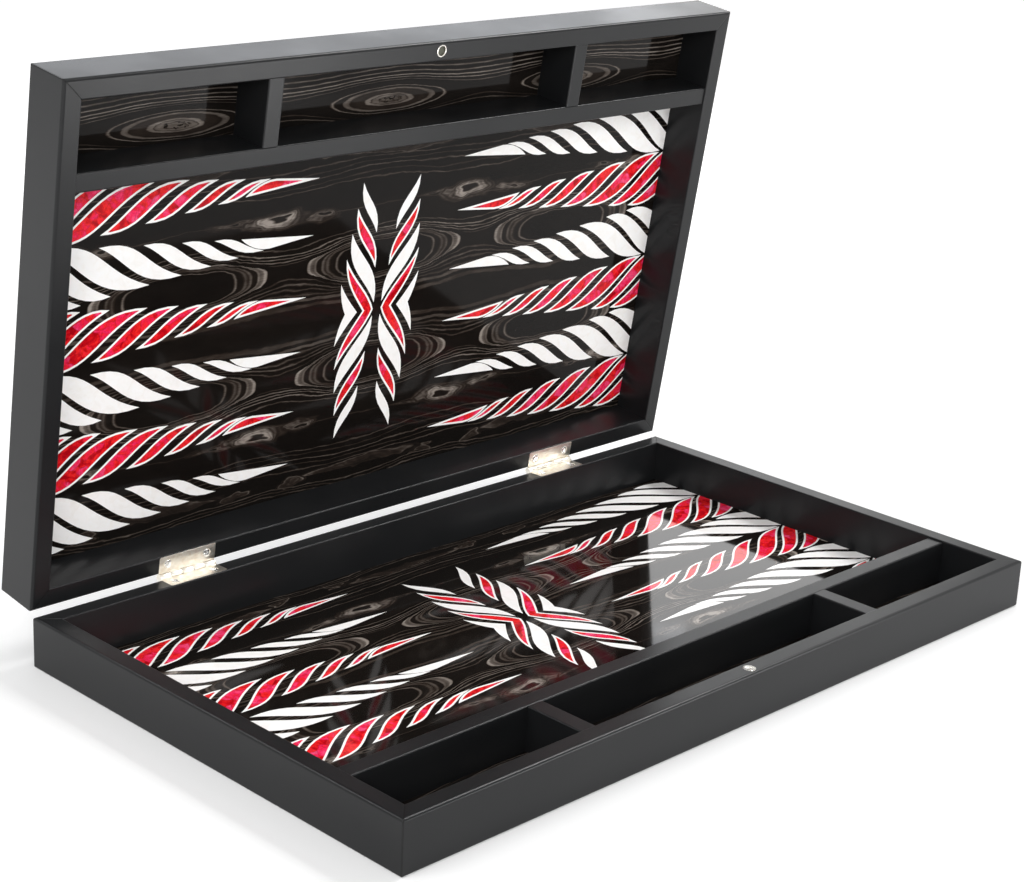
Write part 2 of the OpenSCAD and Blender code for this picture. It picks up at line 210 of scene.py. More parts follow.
def black_lacquer(half):
    f = Finish("black_lacquer", half)
    patches = f.noise(f.place, scale=0.02, detail=3)
    peel = f.noise(f.place, scale=0.8, detail=2)
    dust = f.noise(f.place, scale=4.0, detail=1)
    to_side, to_front = (f.calc("SUBTRACT", reach, f.calc("ABSOLUTE", at))
                         for reach, at in ((HALF_LENGTH, f.x), (HALF_WIDTH, f.y)))
    off_mitre = f.calc("ABSOLUTE", f.calc("SUBTRACT", to_side, to_front))
    near_corner = f.calc("LESS_THAN", f.calc("MAXIMUM", to_side, to_front), RAIL_WIDTH)
    joint = f.calc("MULTIPLY", near_corner, f.spread(off_mitre, HAIRLINE_CORE, HAIRLINE_EDGE,
                                                     1.0, 0.0))
    plain = f.mix(patches, (0.0075, 0.0080, 0.0088), (0.0125, 0.0128, 0.0135))
    f.look(
        Base_Color=f.mix(joint, plain, (0.003, 0.003, 0.003)),
        Roughness=f.calc("ADD", f.vary(patches, 0.26, 0.31),
                         f.calc("MULTIPLY", dust, 0.04)),
        Specular_IOR_Level=LACQUER_LEVEL,
    )
    bumps = f.calc("ADD", peel, f.calc("MULTIPLY", dust, 0.2))
    f.relief(f.calc("SUBTRACT", bumps, f.calc("MULTIPLY", joint, HAIRLINE_DEPTH)), 0.012)
    return f.material


print("black lacquer described")

# %% [markdown]
# The veneer is the showpiece. It is cut so that its growth rings show as long ovals, with thin
# pale lines that bow round each oval and dip between two of them. All of that follows from one
# height for every place, like the height on a map: lines of equal height are the grain. Across
# a row of ovals the height is how far a place lies from the row, made lower by a wave along the
# row, and a Color Ramp then says how pale each height is. The sheet is book-matched: its two
# halves mirror each other about a dark band.

# %% Grain lines of the veneer
OVAL_PERIOD = 143.75


def stops_for(lines, low, high, ground):
    """Ramp stops for pale lines (height, half its width, tone) on a dark ground."""
    stops = [(low, ground)]
    for height, half_width, tone in lines:
        # A broad line has a flat top, a fine one a single peak
        flat = 0.55 * half_width if half_width > 0.9 else 0.0
        tops = [(height - flat, tone), (height + flat, tone)] if flat else [(height, tone)]
        stops += [(height - half_width, ground), *tops, (height + half_width, ground)]
    return stops + [(high, ground)]


def ruled(f, height, lines, low, high, ground):
    """Tone of each height from low to high: pale lines on a dark ground."""
    return f.tones(height, stops_for(lines, low, high, ground), low, high)


def oval_height(f, across, middle_x, swell, blunt=None):
    """Height over a row of ovals: below zero inside them, rising away from the row.

    With blunt, a length in mm, the ovals have blunter ends.
    """
    turn = f.calc("MULTIPLY", f.calc("SUBTRACT", f.x, middle_x), 2 * math.pi / OVAL_PERIOD)
    wave = f.spread(f.calc("COSINE", turn), -1, 1, 0, swell, smooth=False)
    away = f.calc("MULTIPLY", across, across)
    outside = f.calc("SUBTRACT", away, wave)
    if blunt is None:
        inside = outside
    else:
        gap = f.calc("POWER", f.spread(f.calc("COSINE", turn), 1, -1, smooth=False), 1.3)
        rounder = f.calc("MULTIPLY", away, f.calc("DIVIDE", f.calc("ABSOLUTE", across), blunt))
        inside = f.calc("SUBTRACT", rounder, f.calc("MULTIPLY", f.calc("SUBTRACT", 1.0, gap),
                                                    swell))
    rise = f.calc("SQRT", f.calc("MAXIMUM", outside, 0.0))
    fall = f.calc("SQRT", f.calc("MAXIMUM", f.calc("MULTIPLY", inside, -1.0), 0.0))
    return f.calc("SUBTRACT", rise, fall)


FIELD_SWELL, TRAY_SWELL = 191.0, 90.6
field_oval = [(-14.0, 0.04), (-10.85, 0.04), (-10.5, 0.60), (-10.2, 0.06), (-9.5, 0.08),
              (-9.0, 0.42), (-8.5, 0.22), (-8.0, 0.48), (-7.6, 0.08), (-6.9, 0.08), (-6.55, 0.62),
              (-6.1, 0.42), (-5.6, 0.55), (-5.2, 0.98), (-4.85, 0.85), (-4.55, 0.05)]
field_outside = [(4.6, 0.5, 0.4), (6.6, 0.55, 0.75), (8.6, 0.55, 0.7), (10.8, 0.65, 0.85),
                 (14.5, 0.6, 0.5), (29.0, 0.5, 0.4)]
field_inside = [(5.5, 0.8, 0.4), (8.5, 0.8, 0.5), (11.0, 0.7, 0.4), (13.6, 0.9, 0.38),
                (16.6, 1.3, 0.42), (21.0, 1.6, 0.3)]
field_edge = [(79.5, 0.5, 0.45), (82.5, 0.4, 0.35), (86.0, 0.5, 0.55), (89.0, 0.4, 0.4),
              (92.0, 0.5, 0.45), (103.0, 0.5, 0.5), (105.0, 0.4, 0.4), (107.0, 0.5, 0.5)]
tray_oval = [(-9.6, 0.60), (-9.44, 0.52), (-9.38, 0.24), (-9.32, 0.60), (-9.16, 0.50), (-9.1, 0.26),
             (-9.04, 0.66), (-8.86, 0.58), (-8.76, 0.16), (-8.2, 0.20), (-7.75, 0.14), (-7.6, 0.46),
             (-7.3, 0.60), (-7.1, 0.50), (-7.0, 0.08), (-6.2, 0.07), (-5.95, 0.80), (-5.6, 0.05)]
tray_outside = [(5.0, 0.45, 0.55), (7.3, 0.5, 0.85), (9.3, 0.6, 1.0), (12.0, 0.6, 0.85),
                (15.0, 0.7, 0.75), (18.0, 0.6, 0.55)]
tray_inside = [(3.0, 0.6, 0.35), (5.6, 0.5, 0.6)]
print("grain lines:", sum(map(len, (field_outside, field_inside, field_edge, tray_outside,
                                    tray_inside))), "ring stops:", len(field_oval + tray_oval))

# %% [markdown]
# Where the knife cut close to a knot, the veneer also shows pale clouds. They come back with
# every oval, so each is written once, on a coordinate that starts again every period. An
# ellipse says where the cloud is and noise pulls it out of shape. Rings round a dark pit, bright
# on the side of the mirror line, give the hooked wisps of wood round a bud; rings that are
# brightest near the rim give the long pale islands next to the hinges.

# %% Pale clouds in the veneer
FIELD_MIRROR_Y = 22.6
FIELD_OVAL_Y = 32.35
TRAY_OVAL_Y = -102.5
TRAY_START_Y = -88.7
# Middle along x and from the mirror line, half sizes, and tone
field_clouds = [(-62.6, 64.6, 25.0, 6.4, 1.25), (-96.5, 63.2, 16.0, 4.6, 0.75),
                (-34.0, 66.5, 17.0, 2.6, 0.55)]
hinge_side_clouds = [(49.4, 99.3, 9.0, 3.2, 0.7), (0.5, 96.2, 44.0, 3.0, 0.55),
                     (-51.6, 99.6, 9.0, 2.6, 0.55)]
# Tones from a cloud's middle, 0, to its rim, 1, and a little beyond
bud_rings = [(0.0, 0.05), (0.20, 0.08), (0.30, 0.95), (0.44, 0.62), (0.52, 0.80), (0.62, 0.26),
             (0.70, 0.44), (0.80, 0.16), (0.88, 0.28), (1.0, 0.06), (1.2, 0.0)]
island_rings = [(0.0, 0.30), (0.35, 0.50), (0.5, 0.34), (0.66, 0.46), (0.76, 0.60), (0.86, 0.95),
                (0.92, 0.55), (0.98, 0.08), (1.08, 0.30), (1.16, 0.0)]


def along_period(f, middle_x):
    """Millimetres from the nearest repeat of middle_x."""
    return f.calc("WRAP", f.calc("SUBTRACT", f.x, middle_x), -OVAL_PERIOD / 2, OVAL_PERIOD / 2)


def cloud_tone(f, mirrored, clouds, rings, arch):
    """Tone of all these clouds together; arch, in mm, is how far each one bends at its ends."""
    place = f.stretched(0.055, 0.16, mirrored)
    pull = f.node("ShaderNodeTexNoise", Vector=place, Scale=1.0, Detail=1.0,
                  Distortion=0.3).outputs["Color"]
    pulled = f.node("ShaderNodeSeparateXYZ", Vector=pull).outputs
    along, across = (f.vary(pulled[i], -reach, reach, smooth=False)
                     for i, reach in ((0, 5.5), (1, 1.7)))
    fan = f.noise(f.vector(f.calc("MULTIPLY_ADD", mirrored, 0.25, f.calc("MULTIPLY", f.x, 0.22)),
                           f.calc("MULTIPLY", mirrored, 0.2)), detail=1, distortion=0.4)
    total = None
    for middle_x, middle_m, half_x, half_m, tone in clouds:
        off = along_period(f, middle_x)
        u = f.calc("DIVIDE", f.calc("ADD", off, along), half_x)
        bent = f.calc("MULTIPLY_ADD", f.calc("MULTIPLY", u, u), arch, middle_m)
        v = f.calc("DIVIDE", f.calc("ADD", f.calc("SUBTRACT", mirrored, bent), across), half_m)
        reach = f.calc("SQRT", f.calc("ADD", f.calc("MULTIPLY", u, u), f.calc("MULTIPLY", v, v)))
        body = f.calc("MULTIPLY", f.tones(reach, rings, 0.0, 1.2),
                      f.spread(v, 0.0, 0.9, tone, 0.45 * tone))
        body = f.calc("MULTIPLY", body, f.spread(fan, 0.35, 0.65, 0.75, 1.05))
        total = body if total is None else f.calc("MAXIMUM", total, body)
    return total


print("clouds:", len(field_clouds) + len(hinge_side_clouds))

# %% [markdown]
# Now the parts of the figure are laid over each other. The playing field and the dice tray are
# two sheets, so each has its own row of ovals. Everything is measured from the mirror line and
# swayed by a slow noise, because no growth ring is a clean curve. The tone between 0 and 1 then
# becomes colour: near black between the lines, warm grey brown on them. Gloss lacquer lies over
# the whole sheet, the pearl too, so the roughness is low and the bump is only a very slow wave.

# %% Dark figured veneer
def field_tone(f, mirrored, sway):
    across = f.calc("ADD", f.calc("SUBTRACT", mirrored, FIELD_OVAL_Y), sway)
    height = oval_height(f, across, -2.0, FIELD_SWELL, blunt=12.0)
    rings = f.tones(height, field_oval, -14.0, 0.0)
    outer = ruled(f, height, field_outside, 0.0, 34.0, 0.05)
    inner = ruled(f, height, field_inside, 0.0, 34.0, 0.05)
    rows = f.mix(f.calc("GREATER_THAN", across, 0.0), inner, outer)
    rows = f.mix(f.calc("GREATER_THAN", height, 0.0), rings, rows)
    bow = f.calc("COSINE", f.calc("MULTIPLY", f.calc("SUBTRACT", f.x, 8.0),
                                  2 * math.pi / OVAL_PERIOD))
    rim_height = f.calc("SUBTRACT", f.calc("ADD", mirrored, sway), f.calc("MULTIPLY", bow, 1.6))
    rim = ruled(f, rim_height, field_edge, 60.0, 110.0, 0.03)
    lines = f.mix(f.spread(mirrored, 62.0, 70.0), rows, rim)
    clouds = f.calc("MAXIMUM", cloud_tone(f, mirrored, field_clouds, bud_rings, -1.5),
                    cloud_tone(f, mirrored, hinge_side_clouds, island_rings, 1.2))
    return f.calc("MAXIMUM", lines, clouds)


def tray_tone(f, sway):
    across = f.calc("ADD", f.calc("SUBTRACT", TRAY_OVAL_Y, f.y), f.calc("MULTIPLY", sway, 0.35))
    height = oval_height(f, across, 10.0, TRAY_SWELL)
    ruffle = f.noise(f.stretched(0.16, 0.5))
    ruffled = f.calc("ADD", height, f.vary(ruffle, -0.06, 0.06, smooth=False))
    rings = f.tones(ruffled, tray_oval, -10.0, 0.0)
    outer = ruled(f, height, tray_outside, 0.0, 24.0, 0.04)
    inner = ruled(f, height, tray_inside, 0.0, 24.0, 0.04)
    lines = f.mix(f.calc("GREATER_THAN", across, 0.0), inner, outer)
    lines = f.mix(f.calc("GREATER_THAN", height, 0.0), rings, lines)
    spots = f.noise(f.stretched(0.34, 0.6), detail=1)
    pith = f.calc("MULTIPLY", f.spread(height, -9.36, -9.26, 1.0, 0.0),
                  f.spread(spots, 0.55, 0.60, 0.0, 0.9))
    return f.calc("MULTIPLY", lines, f.calc("SUBTRACT", 1.0, pith))


def veneer_tone(f):
    """How pale the veneer is at each place, 0 to 1."""
    mirrored = f.calc("ABSOLUTE", f.calc("SUBTRACT", f.y, FIELD_MIRROR_Y))
    slow = f.noise(f.stretched(0.018, 0.05, mirrored), detail=1)
    quick = f.noise(f.stretched(0.09, 0.25, mirrored), detail=2)
    sway = f.calc("ADD", f.spread(slow, 0.2, 0.8, -2.4, 2.4, smooth=False),
                  f.spread(quick, 0.2, 0.8, -0.7, 0.7, smooth=False))
    return f.mix(f.calc("LESS_THAN", f.y, TRAY_START_Y), field_tone(f, mirrored, sway),
                 tray_tone(f, sway))


GLOSS_LEVEL = 0.10


def gloss_coat(f, uneven, low=0.05, high=0.08):
    """The lacquer over veneer and pearl; uneven makes it now sharper, now softer."""
    f.look(Roughness=f.vary(uneven, low, high), Specular_IOR_Level=GLOSS_LEVEL)
    f.relief(f.noise(f.place, scale=0.05, detail=1), 0.02)


def dark_veneer(half):
    f = Finish("dark_veneer", half)
    tone = veneer_tone(f)
    patchy = f.noise(f.stretched(0.06, 0.12), detail=3)
    fibre = f.noise(f.stretched(0.12, 4.0), detail=2)
    tone = f.calc("MULTIPLY", tone, f.vary(patchy, 0.7, 1.2, smooth=False))
    tone = f.calc("MULTIPLY", tone, f.spread(fibre, 0.25, 0.75, 0.7, 1.25, smooth=False))
    colour = f.tones(tone, [(0.0, (0.0040, 0.0036, 0.0032)), (0.25, (0.026, 0.019, 0.015)),
                            (0.6, (0.118, 0.099, 0.085)), (1.0, (0.29, 0.255, 0.225))])
    f.look(Base_Color=colour)
    gloss_coat(f, fibre, 0.05, 0.075)
    return f.material


print("veneer described")

# %% [markdown]
# Mother of pearl is laid in thin slips. The white is almost plain, with faint cloudy bands. The
# red is dyed: it drinks the dye unevenly, so crimson and pink patches lie side by side, with
# darker seams between them.

# %% White and red mother of pearl
def white_pearl(half):
    f = Finish("white_pearl", half)
    cloud = f.noise(f.place, scale=0.16, detail=4, distortion=1.2)
    bands = f.noise(f.stretched(0.35, 0.12), detail=2, distortion=0.8)
    colour = f.tones(cloud, [(0.25, (0.90, 0.88, 0.85)), (0.5, (0.94, 0.93, 0.915)),
                             (0.75, (0.95, 0.95, 0.95))])
    f.look(Base_Color=f.mix(f.spread(bands, 0.6, 0.85, 0.0, 0.3), colour, (0.90, 0.85, 0.80)))
    gloss_coat(f, cloud)
    return f.material


def red_pearl(half):
    f = Finish("red_pearl", half)
    bend = f.node("ShaderNodeTexNoise", Vector=f.place, Scale=0.12, Detail=2.0).outputs["Color"]
    bent = f.node("ShaderNodeVectorMath", {"operation": "MULTIPLY_ADD"})
    f.put(bent.inputs[0], bend)
    f.put(bent.inputs[1], (9.0, 9.0, 0.0))
    f.put(bent.inputs[2], f.place)
    slips = f.node("ShaderNodeTexVoronoi", {"feature": "F1"}, Vector=bent.outputs[0], Scale=0.13)
    seams = f.node("ShaderNodeTexVoronoi", {"feature": "DISTANCE_TO_EDGE"},
                   Vector=bent.outputs[0], Scale=0.13).outputs["Distance"]
    one_each = f.node("ShaderNodeSeparateXYZ", Vector=slips.outputs["Color"]).outputs[0]
    cloud = f.noise(f.place, scale=0.14, detail=3, distortion=1.5)
    flecks = f.noise(f.place, scale=0.9, detail=3, distortion=1.0)
    dye = f.calc("ADD", f.calc("MULTIPLY", one_each, 0.34), f.calc("MULTIPLY", cloud, 0.66))
    colour = f.tones(dye, [(0.30, (0.42, 0.003, 0.008)), (0.39, (0.72, 0.008, 0.014)),
                           (0.46, (0.88, 0.024, 0.020)), (0.54, (0.88, 0.018, 0.050)),
                           (0.61, (0.90, 0.024, 0.120)), (0.72, (0.95, 0.090, 0.220))])
    depth = f.calc("MULTIPLY", f.spread(seams, 0.0, 0.07, 0.72, 1.0),
                   f.spread(flecks, 0.35, 0.65, 0.76, 1.08))
    f.look(Base_Color=f.mix(depth, (0.16, 0.001, 0.006), colour))
    gloss_coat(f, cloud)
    return f.material


print("pearl described")

# %% [markdown]
# The hinges are nickel-plated steel: pale and slightly warm, with soft scratches along the
# leaf. The screws, the base's magnet and the cup of the lid's are smoother, so they mirror more
# sharply. Metal has no colour of its own but its reflection, so roughness carries the detail. The
# lid's magnet is bare and grey, and the panels' fibreboard is matt.

# %% Metals and fibreboard
def plated_metal(name, half, tint, shade, smooth):
    f = Finish(name, half)
    brushed = f.noise(f.vector(f.calc("MULTIPLY", f.x, 0.25), f.calc("MULTIPLY", f.y, 3.0),
                               f.calc("MULTIPLY", f.z, 3.0)), detail=3)
    tarnish = f.noise(f.place, scale=0.35, detail=3)
    f.look(Base_Color=f.mix(f.spread(tarnish, 0.35, 0.75), tint, shade), Metallic=1.0,
           Roughness=f.vary(brushed, smooth, smooth + 0.14))
    f.relief(brushed, 0.02)
    return f.material


def hinge_nickel(half):
    return plated_metal("hinge_nickel", half, (0.97, 0.93, 0.85), (0.86, 0.78, 0.66), 0.28)


def screw_nickel(half):
    return plated_metal("screw_nickel", half, (0.92, 0.92, 0.91), (0.80, 0.79, 0.77), 0.14)


def bright_nickel(half):
    return plated_metal("bright_nickel", half, (0.70, 0.68, 0.64), (0.55, 0.52, 0.47), 0.20)


def magnet_grey(half):
    f = Finish("magnet_grey", half)
    grit = f.noise(f.place, scale=6.0, detail=3)
    f.look(Base_Color=f.mix(grit, (0.045, 0.046, 0.032), (0.10, 0.10, 0.075)),
           Roughness=f.vary(grit, 0.45, 0.6), Metallic=0.4)
    f.relief(grit, 0.05)
    return f.material


def fibreboard(half):
    f = Finish("fibreboard", half)
    felt = f.noise(f.place, scale=3.0, detail=4, roughness=0.7)
    f.look(Base_Color=f.mix(felt, (0.16, 0.10, 0.055), (0.30, 0.20, 0.12)),
           Roughness=f.vary(felt, 0.8, 0.95))
    f.relief(felt, 0.1)
    return f.material


print("metals and fibreboard described")

# %% [markdown]
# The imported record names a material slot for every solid. Each slot is given the finish of
# the same name, once for the base and once for the lid.

# %% Dress the solids
makers = {m.__name__: m for m in (black_lacquer, dark_veneer, white_pearl, red_pearl,
                                   hinge_nickel, screw_nickel, bright_nickel, magnet_grey,
                                   fibreboard)}
finishes = {}


def finish(slot, half):
    if (slot, half) not in finishes:
        finishes[slot, half] = makers[slot](half)
    return finishes[slot, half]


for name, solid in frame["nodes"].items():
    half = "lid" if name.startswith("lid_") else "base"
    for slot in solid.material_slots:
        slot.material = finish(slot.material.name.split(".")[0], half)
print("finishes made:", len(finishes))

# %% [markdown]
# Each hinge leaf is a pressed steel plate, and the magnets are turned discs, the lid's in a cup:
# all of them have soft edges, and a soft edge is what catches the light along a small metal part.
# The CAD solids already have the knuckles and the countersunk holes, so a copy of each is merged,
# its flat faces are joined, and a Bevel modifier rounds every sharp edge.

# %% Hinge leaves and magnets with soft edges
LEAF_EDGE, MAGNET_EDGE = 0.12, 0.3
# In millimetres, then three angles in degrees
MERGE_WITHIN, FLAT_WITHIN, SHARP_FROM, SMOOTH_UP_TO = 0.002, 1, 40, 35


def only(thing):
    bpy.ops.object.select_all(action="DESELECT")
    thing.select_set(True)
    bpy.context.view_layer.objects.active = thing


def soft_edged(node, radius):
    """A copy of a CAD solid with its sharp edges rounded by radius in mm; it takes its place."""
    only(frame["nodes"][node])
    bpy.ops.object.duplicate(linked=False)
    piece = bpy.context.active_object
    piece.name = node + "_soft"
    only(piece)
    bpy.ops.object.mode_set(mode="EDIT")
    bpy.ops.mesh.customdata_custom_splitnormals_clear()
    bpy.ops.mesh.select_all(action="SELECT")
    bpy.ops.mesh.remove_doubles(threshold=MERGE_WITHIN * MM)
    bpy.ops.mesh.dissolve_limited(angle_limit=math.radians(FLAT_WITHIN))
    bpy.ops.object.mode_set(mode="OBJECT")
    soften = piece.modifiers.new("soft_edges", "BEVEL")
    soften.width, soften.segments = radius * MM, 2
    soften.limit_method, soften.angle_limit = "ANGLE", math.radians(SHARP_FROM)
    bpy.ops.object.modifier_apply(modifier=soften.name)
    bpy.ops.object.shade_smooth_by_angle(angle=math.radians(SMOOTH_UP_TO))
    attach(piece, node.split("_")[0])
    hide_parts(node)


for half in ("base", "lid"):
    for side in ("left", "right"):
        soft_edged(f"{half}_{side}_hinge_leaf", LEAF_EDGE)
for node in ("base_magnet", "lid_magnet", "lid_magnet_cup"):
    soft_edged(node, MAGNET_EDGE)

# %% [markdown]
# The leaves are held by raised countersunk screws: a cone that sits in the leaf's hole, a low
# dome that stands a hair above the leaf, and a cross for the screwdriver. A screw is turned on a
# lathe, so half of its outline is drawn as a chain of points, and Spin turns that chain once
# round the axis. The cross is cut with a tapered cutter by a Boolean modifier.

# %% One screw
# In millimetres, with heights from the leaf's face
HEAD_RADIUS, HEAD_RIM, HEAD_TOP, RIM_HEIGHT = 2.35, -0.22, 0.11, 0.12
NECK, SHANK_END, TIP = (1.15, -1.3), (1.1, -10.0), (0.0, -12.0)
CROSS_WIDTH, CROSS_ARM, CROSS_DEPTH, CROSS_TAPER = 0.62, 1.0, 0.5, 0.45
TURN_STEPS = 40
screw_outline = [(HEAD_RADIUS * math.sin(math.radians(a)),
                  HEAD_TOP - (HEAD_TOP - HEAD_RIM) * (1 - math.cos(math.radians(a))))
                 for a in (0, 18, 36, 54, 72, 90)]
screw_outline += [(HEAD_RADIUS, HEAD_RIM - RIM_HEIGHT), NECK, SHANK_END, TIP]


def draw_chain(points):
    """A chain of edges through points (radius, height in mm) in the XZ plane; edit mode stays."""
    bpy.ops.object.select_all(action="DESELECT")
    bpy.ops.mesh.primitive_plane_add(size=0.1 * MM, location=(0, 0, 0))
    bpy.ops.object.mode_set(mode="EDIT")
    bpy.ops.mesh.merge(type="CENTER")
    bpy.ops.transform.translate(value=(points[0][0] * MM, 0, points[0][1] * MM))
    for (r, z), (next_r, next_z) in zip(points, points[1:]):
        bpy.ops.mesh.extrude_region_move(TRANSFORM_OT_translate={
            "value": ((next_r - r) * MM, 0, (next_z - z) * MM)})


def turn_screw():
    draw_chain(screw_outline)
    bpy.ops.mesh.select_all(action="SELECT")
    bpy.ops.mesh.spin(steps=TURN_STEPS, angle=math.tau, center=(0, 0, 0), axis=(0, 0, 1))
    bpy.ops.mesh.select_all(action="SELECT")
    bpy.ops.mesh.remove_doubles(threshold=0.01 * MM)
    bpy.ops.mesh.normals_make_consistent(inside=False)
    bpy.ops.object.mode_set(mode="OBJECT")
    return bpy.context.active_object


def face_toward(thing, direction):
    """Selects, in edit mode, the faces whose normal points along direction."""
    bpy.ops.mesh.select_all(action="DESELECT")
    bpy.ops.object.mode_set(mode="OBJECT")
    for face in thing.data.polygons:
        face.select = face.normal.dot(Vector(direction)) > 0.99
    bpy.ops.object.mode_set(mode="EDIT")


def cross_cutter():
    bpy.ops.object.select_all(action="DESELECT")
    bpy.ops.mesh.primitive_cube_add(size=CROSS_WIDTH * MM, location=(0, 0, 0))
    cutter = bpy.context.active_object
    bpy.ops.object.mode_set(mode="EDIT")
    for direction in ((1, 0, 0), (-1, 0, 0), (0, 1, 0), (0, -1, 0)):
        face_toward(cutter, direction)
        bpy.ops.mesh.extrude_region_move(TRANSFORM_OT_translate={
            "value": [v * CROSS_ARM * MM for v in direction]})
    face_toward(cutter, (0, 0, -1))
    bpy.ops.transform.translate(value=(0, 0, -CROSS_DEPTH * MM))
    bpy.ops.transform.resize(value=(CROSS_TAPER, CROSS_TAPER, 1))
    bpy.ops.object.mode_set(mode="OBJECT")
    return cutter


screw = turn_screw()
cutter = cross_cutter()
only(screw)
cross = screw.modifiers.new("cross", "BOOLEAN")
cross.operation, cross.object, cross.solver = "DIFFERENCE", cutter, "EXACT"
bpy.ops.object.modifier_apply(modifier=cross.name)
bpy.data.objects.remove(cutter)
bpy.ops.object.shade_smooth_by_angle(angle=math.radians(30))
print("screw faces:", len(screw.data.polygons))

# %% [markdown]
# The screw is made once, at the world's middle. Each half takes four copies, every one with its
# cross turned another way, as a hand with a screwdriver leaves them.

# %% Eight screws in place
HINGE_X, SCREW_APART, SCREW_Y, LEAF_FACE_Z = 141.0, 25.6, 135.6, 28.15
CROSS_TURNS = (12, 57, 33, 71)


def middle_of(thing):
    return sum((Vector(c) for c in thing.bound_box), Vector()) / 8


def place_screws(half):
    row = []
    spots = [side * HINGE_X + end * SCREW_APART / 2 for side in (-1, 1) for end in (-1, 1)]
    for x, turn in zip(spots, CROSS_TURNS):
        only(screw)
        bpy.ops.object.duplicate(linked=False)
        one = bpy.context.active_object
        spot = Matrix.Translation(Vector((x, SCREW_Y, LEAF_FACE_Z)) * MM) @ Matrix.Rotation(
            math.radians(turn), 4, "Z")
        if half == "lid":
            over = back_turn.to_matrix().inverted().to_4x4()
            spot = Matrix.Translation(to_lid((0, 0, 0))) @ over @ spot
        one.matrix_world = spot
        bpy.ops.object.transform_apply(location=True, rotation=True, scale=True)
        row.append(one)
    bpy.ops.object.select_all(action="DESELECT")
    for one in row:
        one.select_set(True)
    bpy.context.view_layer.objects.active = row[0]
    bpy.ops.object.join()
    joined = bpy.context.active_object
    joined.name = half + "_screws_turned"
    joined.data.materials.clear()
    joined.data.materials.append(finish("screw_nickel", half))
    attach(joined, half)
    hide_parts(half + "_hinge_screws")
    print(joined.name, "middle in mm:", [round(v / MM, 1) for v in middle_of(joined)])


for half in ("base", "lid"):
    place_screws(half)
bpy.data.objects.remove(screw)

# %% [markdown]
# The photograph was taken from the left front, a little above the board. The camera's place,
# turn and focal length were worked out from the board's own corners, so a corner of the model
# falls on the same corner in the picture.

# %% Camera
CAMERA_PLACE = Vector((-0.82249, -0.762855, 0.489351))
HEADING, DIP, ROLL = (math.radians(v) for v in (45.745, 18.652, 2.703))
SENSOR_WIDTH, FOCAL_LENGTH = 36.0, 78.25
ahead = Vector((math.sin(HEADING) * math.cos(DIP), math.cos(HEADING) * math.cos(DIP),
                -math.sin(DIP)))
level_right = ahead.cross(Vector((0, 0, 1))).normalized()
level_up = level_right.cross(ahead)
right = math.cos(ROLL) * level_right + math.sin(ROLL) * level_up
up = math.cos(ROLL) * level_up - math.sin(ROLL) * level_right

camera_data = bpy.data.cameras.new("camera")
camera_data.sensor_width, camera_data.lens = SENSOR_WIDTH, FOCAL_LENGTH
camera = bpy.data.objects.new("camera", camera_data)
bpy.context.scene.collection.objects.link(camera)
camera.matrix_world = Matrix.Translation(CAMERA_PLACE) @ Matrix(
    (right, up, -ahead)).transposed().to_4x4()
camera_data.clip_start, camera_data.clip_end = 0.01, 50.0
bpy.context.scene.camera = camera
print("camera to board in mm:", round((CAMERA_PLACE - (cad_low + cad_high) / 2).length / MM))

# %% [markdown]
# A product picture on white needs a floor that reads as white and still takes the shadow. The
# floor is a pale matt sheet. A Light Path node adds a little light of its own to what the camera
# and the reflections see of it: almost none close to the board, where the shadow lies, more
# further off, where the sheet runs into the white background, and some behind the board, so that
# the gap between the halves shows white.

# %% Floor
FLOOR_SIZE, FLOOR_TONE = 12.0, 0.82
# For each lift: where it starts, where it is full, and how much it then is
NEAR_LIFT, AWAY_LIFT, BEHIND_LIFT = 0.05, (0.4, 1.4, 0.72), (0.14, 0.22, 0.3)

bpy.ops.object.select_all(action="DESELECT")
bpy.ops.mesh.primitive_grid_add(x_subdivisions=8, y_subdivisions=8, size=FLOOR_SIZE,
                                location=(0, 0, cad_low.z))
floor = bpy.context.active_object
floor.name = "floor"
sheet = bpy.data.materials.new("floor_sheet")
sheet.use_nodes = True
tree = sheet.node_tree
matt = tree.nodes["Principled BSDF"]
matt.inputs["Base Color"].default_value = (FLOOR_TONE, FLOOR_TONE, FLOOR_TONE, 1)
matt.inputs["Roughness"].default_value = 0.9
matt.inputs["Specular IOR Level"].default_value = 0.0


def seen(tree, share, unseen=0.0):
    """share for the camera, for reflections and through glass; unseen for all other light."""
    path = tree.nodes.new("ShaderNodeLightPath")
    either = path.outputs["Is Camera Ray"]
    for ray in ("Is Glossy Ray", "Is Transmission Ray"):
        pair = tree.nodes.new("ShaderNodeMath")
        pair.operation = "MAXIMUM"
        tree.links.new(either, pair.inputs[0])
        tree.links.new(path.outputs[ray], pair.inputs[1])
        either = pair.outputs[0]
    chosen = tree.nodes.new("ShaderNodeMapRange")
    tree.links.new(either, chosen.inputs["Value"])
    chosen.inputs["To Min"].default_value = unseen
    if isinstance(share, bpy.types.NodeSocket):
        tree.links.new(share, chosen.inputs["To Max"])
    else:
        chosen.inputs["To Max"].default_value = share
    return chosen.outputs["Result"]


